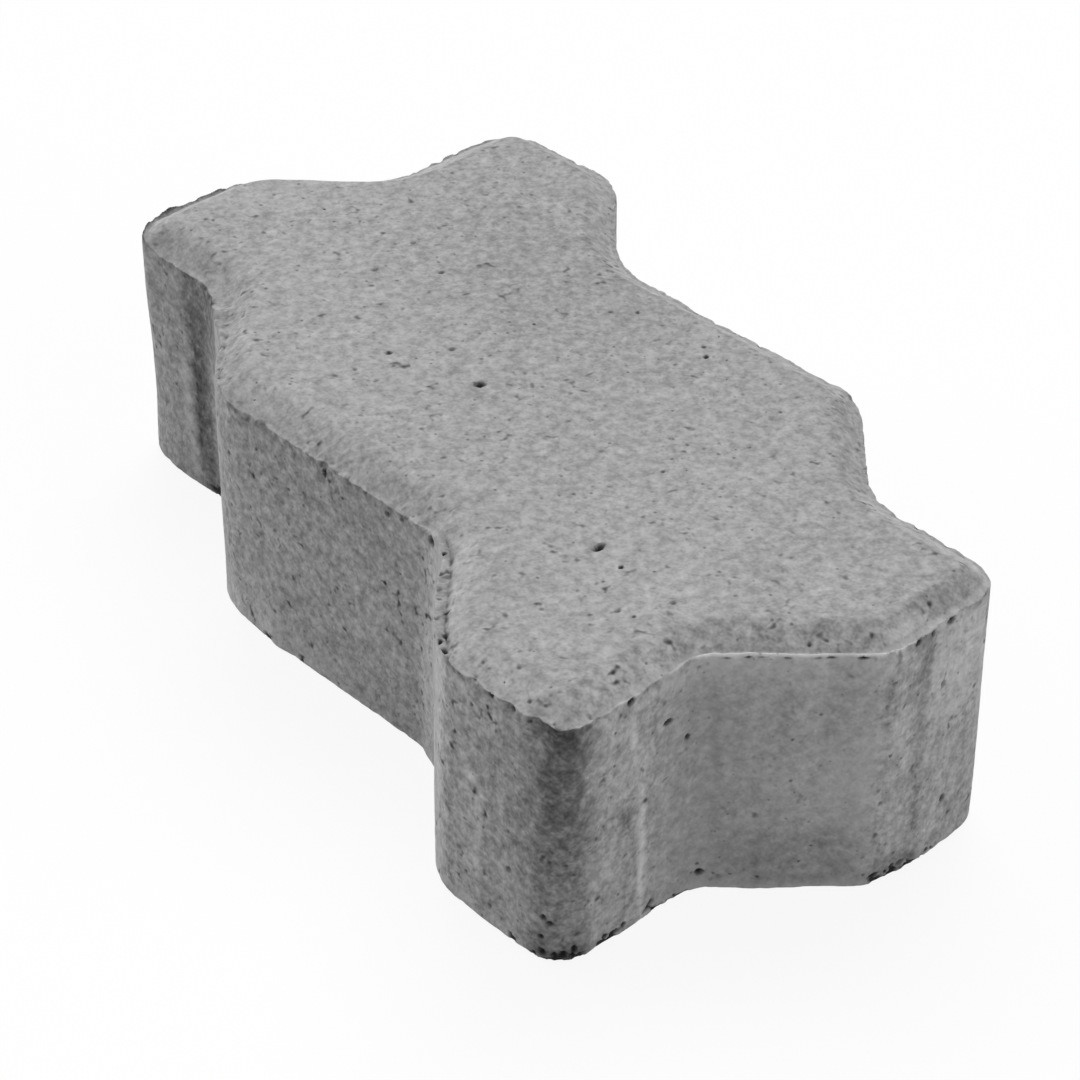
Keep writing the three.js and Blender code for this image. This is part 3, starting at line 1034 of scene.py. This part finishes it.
def finishMasks(places, inset, along, rimPaintedLight):
    # The masks that the material reads: stain with painted light and shade, coarseness and mould marks.
    height = places[:, 2]
    onWall = (1 - smoothStep(*finish["wallEnds"], height - arrisHeight)) * (inset < finish["wallInset"])
    onChamfer = smoothStep(*finish["chamferStarts"], height - arrisHeight) * (inset < chamferEnd)
    coarseWall, drawnWall, coarseChamfer = (
        finishAlong(along, {name: values[i] for name, values in wallFinish.items()}, 1) for i in range(3))
    coarse = 1 + onWall * (coarseWall - 1) + onChamfer * (coarseChamfer - 1)
    drawn = onWall * drawnWall
    for patch in smoothPatches:
        less = 1 + onWall * wallMask(places, along, patch) * (patch[-1] - 1)
        coarse *= less
        drawn *= less

    # A tone for each face, painted shade under the arris, and painted light that pales the foot beside its
    # edges.
    stainAndPaintedLight = 1 + onWall * (finishAlong(along, wallTone, finish["plainWall"]) - 1)
    stainAndPaintedLight *= 1 + onChamfer * (finishAlong(along, chamferTone, 1) - 1)
    onLand = np.clip(1 - onWall - onChamfer, 0, 1) * (inset < chamferEnd)
    onLand *= height > arrisHeight + finish["landStarts"]
    stainAndPaintedLight *= 1 + onLand * (finishAlong(along, landTone, 1) - 1)
    fromShade = (height - arrisHeight + relief["arrisShadeDrop"]) / relief["arrisShadeBand"]
    blotch = relief["blotchGain"] * noiseAt(places, relief["arrisWearSize"], shift=noiseShift["blotch"])
    blotch = np.clip(relief["blotchBase"] + blotch, 0, 1)
    stainAndPaintedLight *= 1 - relief["arrisShade"] * np.exp(-fromShade ** 2) * onWall * blotch * edgeAlong(along, 2)
    stainAndPaintedLight *= 1 + finish["footPaintedLight"] * onWall * np.exp(-(height / finish["footBand"]) ** 2)

    # The stains and the painted light and shade of the marks, with edges that wander.
    wander = finish["wander"] * noiseAt(places, finish["wanderSize"], shift=noiseShift["wander"])
    wander += finish["fineWander"] * noiseAt(places, finish["fineWanderSize"], shift=noiseShift["fineWander"])
    for mark in wallStainsAndPaintedLight:
        stainAndPaintedLight *= 1 + onWall * wallMask(places, along + wander * mm, mark) * (mark[-1] - 1)
    onTop = height > arrisHeight + finish["topStarts"]
    for x, y, halfWidth, halfLength, tone in topStains:
        away = np.hypot((places[:, 0] / mm - x) / halfWidth, (places[:, 1] / mm - y) / halfLength)
        stainAndPaintedLight *= 1 + onTop * np.exp(-(away ** 3)) * (tone - 1)
    # A painted highlight along the fine raised line beside the chamfer's end.
    sharp = np.clip(2 - edgeAlong(along, 3), 0, 1) * onTop
    crease = sharp * np.exp(-((inset - ridgeAt) / relief["ridgeWidth"]) ** 2)
    stainAndPaintedLight *= 1 + relief["ridgePaintedHighlight"] * crease
    # Painted shade where the chamfer turns into the top.
    fromEnd = (inset - chamferEnd - relief["chamferEndInset"]) / relief["chamferEndWidth"]
    stainAndPaintedLight *= 1 + (relief["chamferEndPaintedShade"] - 1) * sharp * np.exp(-fromEnd ** 2)
    # The rims' painted highlight and shade.
    stainAndPaintedLight *= rimPaintedLight
    return {"stainAndPaintedLight": stainAndPaintedLight, "coarse": coarse, "drawn": drawn}


def makeStone():
    places, normals, faces, kinds = stoneSurface()
    print("stone: surface points", len(places), "triangles", len(faces))
    cut, pitted, rimPaintedLight, inset, along = cutRelief(places, normals, kinds)
    masks = finishMasks(places, inset, along, rimPaintedLight)
    masks["pitted"] = pitted
    mesh = bpy.data.meshes.new("pavingStone")
    mesh.from_pydata(cut.tolist(), [], faces.tolist())
    mesh.polygons.foreach_set("use_smooth", np.ones(len(mesh.polygons), bool))
    for name, values in masks.items():
        mesh.attributes.new(name, "FLOAT", "POINT").data.foreach_set("value", values.astype(np.float32))
    mesh.update()
    piece = bpy.data.objects.new("pavingStone", mesh)
    bpy.context.scene.collection.objects.link(piece)
    return piece


def linear(hexColour):
    # An sRGB hex colour as linear light.
    parts = [int(hexColour[i:i + 2], 16) / 255 for i in (1, 3, 5)]
    return [p / 12.92 if p <= 0.04045 else ((p + 0.055) / 1.055) ** 2.4 for p in parts] + [1]


def addNode(tree, kind, inputs=None, **settings):
    node = tree.nodes.new(kind)
    for name, value in settings.items():
        setattr(node, name, value)
    for name, value in (inputs or {}).items():
        if isinstance(value, bpy.types.NodeSocket):
            tree.links.new(value, node.inputs[name])
        else:
            node.inputs[name].default_value = value
    return node


def emptyMaterial(name):
    material = bpy.data.materials.new(name)
    material.use_nodes = True
    material.node_tree.nodes.clear()
    return material, material.node_tree


# Grey cast concrete. Semi-dry mix, vibrated and pressed in a steel mould and struck at once, which leaves
# a matt skin of cement-coated sand: soft mottling, open pores between the grains, and a few pale grains.
concrete = {
    "paste": "#a0a0a0",
    "roughness": 0.93,
    "bumpStrength": 0.8,
    # Noises: size in metres, finer octaves, how much finer each is and how much it keeps, the mask that says
    # where the noise shows, the tone of the skin at its least and most, and its relief in millimetres.
    "mottle": {"size": 2.5 * mm, "detail": 2, "finer": 1.9, "keeps": 0.8, "mask": "coarse",
               "tones": (0.3, 1.7), "relief": 0.4},
    "cloud": {"size": 6 * mm, "detail": 0, "finer": 2, "keeps": 1, "mask": "coarse", "tones": (0.9, 1.1)},
    "draw": {"size": 1.5 * mm, "detail": 3, "finer": 2, "keeps": 0.6, "mask": "drawn", "tones": (0.8, 1.2),
             "relief": 0.3},
    "drawStretch": 16,
    # Gaps between the sand grains, in clumps, where a coarse noise falls from one level to another.
    "gap": {"size": 5.6 * mm, "detail": 1, "finer": 3.3, "keeps": 1.5, "mask": "coarse", "tones": (1, 0.2),
            "relief": -0.2},
    "gapOpens": (0.38, 0.15),
    # Round pores and pale grains, one to a cell, in a share of the cells.
    "pore": {"size": 2.2 * mm, "radius": 0.55 * mm, "share": 0.34, "tones": (1, 0.42), "relief": -0.2},
    "speck": {"size": 2.5 * mm, "radius": 0.48 * mm, "share": 0.5, "tones": (1, 1.25)},
    "cellEdge": (-0.06, 0.2),    # how softly a pore or a grain ends, as shares of its cell
    "patternTurn": (20, 50, 35),    # degrees, so that no face lies along the grid that the noise is made on
    "warp": 0.3 * mm,            # how far the pores and grains are pulled out of round
    "warpSize": 1.0 * mm,
    "scatter": 0.7,              # below 1, so that a pore seldom meets the edge of its cell
    "stainGrip": (1.9, 0.1),     # the power for stains and painted light in the hollows and on the high spots
    # the tone of the painted shade at the bottom of a hole
    "holeShadeTone": 0.02,
}


def castConcrete():
    material, tree = emptyMaterial("castConcrete")
    place = addNode(tree, "ShaderNodeTexCoord").outputs["Object"]
    turned = addNode(tree, "ShaderNodeMapping", {
        "Vector": place, "Rotation": [math.radians(turn) for turn in concrete["patternTurn"]]}).outputs[0]
    masks = {name: addNode(tree, "ShaderNodeAttribute", attribute_name=name).outputs["Fac"]
             for name in ("pitted", "stainAndPaintedLight", "coarse", "drawn")}

    # Mottling of cement and sand, wide clouds, and the upright marks of the mould lifting off.
    upright = addNode(tree, "ShaderNodeVectorMath", {
        0: place, 1: (1, 1, 1 / concrete["drawStretch"])}, operation="MULTIPLY").outputs[0]
    patterns = {}
    for name in ("mottle", "cloud", "draw", "gap"):
        values = concrete[name]
        patterns[name] = addNode(tree, "ShaderNodeTexNoise", {
            "Vector": upright if name == "draw" else turned, "Scale": 1 / values["size"],
            "Detail": values["detail"], "Lacunarity": values["finer"],
            "Roughness": values["keeps"]}).outputs[0]
    patterns["gap"] = addNode(tree, "ShaderNodeMapRange", {
        "Value": patterns["gap"], "From Min": concrete["gapOpens"][0], "From Max": concrete["gapOpens"][1]},
        interpolation_type="SMOOTHSTEP").outputs[0]

    # Pores and pale grains: one to a cell, in some of the cells, each of its own size.
    warp = addNode(tree, "ShaderNodeTexNoise", {
        "Vector": turned, "Scale": 1 / concrete["warpSize"]}).outputs["Color"]
    pulled = addNode(tree, "ShaderNodeVectorMath", {
        0: warp, 1: (concrete["warp"],) * 3, 2: turned}, operation="MULTIPLY_ADD").outputs[0]
    for name in ("pore", "speck"):
        values = concrete[name]
        cells = addNode(tree, "ShaderNodeTexVoronoi", {
            "Vector": pulled, "Scale": 1 / values["size"], "Randomness": concrete["scatter"]})
        chance = addNode(tree, "ShaderNodeSeparateColor", {0: cells.outputs["Color"]}).outputs[0]
        radius = addNode(tree, "ShaderNodeMapRange", {
            "Value": chance, "From Max": values["share"],
            "To Min": values["radius"] / values["size"], "To Max": 0}).outputs[0]
        inside = addNode(tree, "ShaderNodeMath", {
            0: radius, 1: cells.outputs["Distance"]}, operation="SUBTRACT").outputs[0]
        patterns[name] = addNode(tree, "ShaderNodeMapRange", {
            "Value": inside, "From Min": concrete["cellEdge"][0], "From Max": concrete["cellEdge"][1]},
            interpolation_type="SMOOTHSTEP").outputs[0]

    # The tone and the relief of each pattern, where its mask lets it show.
    tone, height = 1.0, 0.0
    for name, pattern in patterns.items():
        values = concrete[name]
        mask = masks[values["mask"]] if "mask" in values else 1.0
        shade = addNode(tree, "ShaderNodeMapRange", {
            "Value": pattern, "To Min": values["tones"][0], "To Max": values["tones"][1]}, clamp=False)
        masked = addNode(tree, "ShaderNodeMix", {0: mask, 2: 1.0, 3: shade.outputs[0]}, clamp_factor=False)
        tone = addNode(tree, "ShaderNodeMath", {
            0: tone, 1: masked.outputs[0]}, operation="MULTIPLY").outputs[0]
        if "relief" in values:
            shown = addNode(tree, "ShaderNodeMath", {0: pattern, 1: mask}, operation="MULTIPLY").outputs[0]
            height = addNode(tree, "ShaderNodeMath", {
                0: shown, 1: values["relief"], 2: height}, operation="MULTIPLY_ADD").outputs[0]

    # A stain settles in the hollows first, so the mask of stains and painted light and shade
    # is raised to a power that follows the mottling.
    grip = addNode(tree, "ShaderNodeMapRange", {
        "Value": patterns["mottle"], "To Min": concrete["stainGrip"][0], "To Max": concrete["stainGrip"][1]})
    grippedStainAndLight = addNode(tree, "ShaderNodeMath", {0: masks["stainAndPaintedLight"], 1: grip.outputs[0]}, operation="POWER")
    # Painted shade, nearly black, in the holes, the nicks, the groove and the crumbled foot.
    hole = addNode(tree, "ShaderNodeMapRange", {
        "Value": masks["pitted"], "To Min": 1, "To Max": concrete["holeShadeTone"]})
    for darker in (grippedStainAndLight, hole):
        tone = addNode(tree, "ShaderNodeMath", {
            0: tone, 1: darker.outputs[0]}, operation="MULTIPLY").outputs[0]
    colour = addNode(tree, "ShaderNodeVectorMath", {
        0: linear(concrete["paste"])[:3], "Scale": tone}, operation="SCALE").outputs[0]
    bump = addNode(tree, "ShaderNodeBump", {
        "Height": height, "Distance": mm, "Strength": concrete["bumpStrength"]})
    skin = addNode(tree, "ShaderNodeBsdfPrincipled", {
        "Base Color": colour, "Roughness": concrete["roughness"], "Normal": bump.outputs[0]})
    addNode(tree, "ShaderNodeOutputMaterial", {"Surface": skin.outputs["BSDF"]})
    return material


# The camera looks down on the front left corner.
view = {
    "lens": 101.37,              # millimetres, on a 36 mm wide sensor
    "sensorWidth": 36,
    "azimuth": -29.63,           # degrees, where 0 looks along +Y and 90 along -X
    "elevation": 37.23,
    "roll": 0.54,
    "distance": 731.2 * mm,
    "target": Vector((-1.7, -5.95, 27.08)) * mm,
}


def makeCamera():
    azimuth, elevation, roll = (math.radians(view[name]) for name in ("azimuth", "elevation", "roll"))
    forward = Vector((-math.sin(azimuth) * math.cos(elevation), math.cos(azimuth) * math.cos(elevation),
                      -math.sin(elevation)))
    right = forward.cross(Vector((0, 0, 1))).normalized()
    up = right.cross(forward)
    turn = Matrix((right, up, -forward)).transposed() @ Matrix.Rotation(roll, 3, "Z")
    data = bpy.data.cameras.new("camera")
    data.lens = view["lens"]
    data.sensor_width = view["sensorWidth"]
    camera = bpy.data.objects.new("camera", data)
    camera.matrix_world = Matrix.Translation(view["target"] - forward * view["distance"]) @ turn.to_4x4()
    bpy.context.scene.collection.objects.link(camera)
    bpy.context.scene.camera = camera


# A pale room: even light from all round, and three broad lamps, high behind the stone and low at both sides.
studio = {
    "worldStrength": 0.3,
    # Each lamp: strength, elevation, bearing from +X anticlockwise, and how broad it looks, in degrees.
    "lamps": {
        "key": (1.6, 55, 52, 40),
        "rim": (1.85, 11, 120, 60),
        "fill": (0.94, 20, -60, 60),
    },
    "floorSize": 8,
    "floorColour": "#e7e7e7",
    "floorShows": 0.11,          # how much of the shadow shows on the white floor
}


def seenAsWhite(tree):
    # 1 for what the camera sees, straight or in a reflection or through glass.
    rays = addNode(tree, "ShaderNodeLightPath").outputs
    seen = rays["Is Camera Ray"]
    for kind in ("Is Glossy Ray", "Is Transmission Ray"):
        seen = addNode(tree, "ShaderNodeMath", {0: seen, 1: rays[kind]}, operation="MAXIMUM").outputs[0]
    return seen


def makeFloor():
    half = studio["floorSize"] / 2
    mesh = bpy.data.meshes.new("floor")
    boardCorners = [(-half, -half, 0), (half, -half, 0), (half, half, 0), (-half, half, 0)]
    mesh.from_pydata(boardCorners, [], [(0, 1, 2, 3)])
    floor = bpy.data.objects.new("floor", mesh)
    bpy.context.scene.collection.objects.link(floor)

    # Painted board, matt and pale, which the camera sees as nearly white.
    material, tree = emptyMaterial("paintedBoard")
    shows = studio["floorShows"]
    paint = addNode(tree, "ShaderNodeBsdfDiffuse", {"Color": linear(studio["floorColour"])})
    shown = addNode(tree, "ShaderNodeBsdfDiffuse", {"Color": (shows, shows, shows, 1)})
    glow = addNode(tree, "ShaderNodeEmission", {"Color": (1, 1, 1, 1), "Strength": 1 - shows})
    white = addNode(tree, "ShaderNodeAddShader", {0: shown.outputs[0], 1: glow.outputs[0]})
    mixed = addNode(tree, "ShaderNodeMixShader", {
        0: seenAsWhite(tree), 1: paint.outputs[0], 2: white.outputs[0]})
    addNode(tree, "ShaderNodeOutputMaterial", {"Surface": mixed.outputs[0]})
    mesh.materials.append(material)


def makeStudio():
    scene = bpy.context.scene
    scene.world = bpy.data.worlds.new("studio")
    scene.world.use_nodes = True
    tree = scene.world.node_tree
    tree.nodes.clear()
    strength = addNode(tree, "ShaderNodeMapRange", {
        "Value": seenAsWhite(tree), "To Min": studio["worldStrength"], "To Max": 1.0})
    light = addNode(tree, "ShaderNodeBackground", {"Color": (1, 1, 1, 1), "Strength": strength.outputs[0]})
    addNode(tree, "ShaderNodeOutputWorld", {"Surface": light.outputs[0]})

    for name, (strength, elevation, bearing, breadth) in studio["lamps"].items():
        lampData = bpy.data.lights.new(name, "SUN")
        lampData.energy = strength
        lampData.angle = math.radians(breadth)
        lamp = bpy.data.objects.new(name, lampData)
        elevation, bearing = math.radians(elevation), math.radians(bearing)
        towards = Vector((math.cos(bearing) * math.cos(elevation), math.sin(bearing) * math.cos(elevation),
                          math.sin(elevation)))
        lamp.rotation_euler = towards.to_track_quat("Z", "Y").to_euler()
        scene.collection.objects.link(lamp)
    makeFloor()


makeCamera()
print("camera: set")
makeStudio()
print("studio: lamps, world and floor")
pavingStone = makeStone()
pavingStone.data.materials.append(castConcrete())
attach(pavingStone, "root")
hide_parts("paving_stone")
print("stone: finished")

bpy.context.scene.view_settings.view_transform = "Standard"
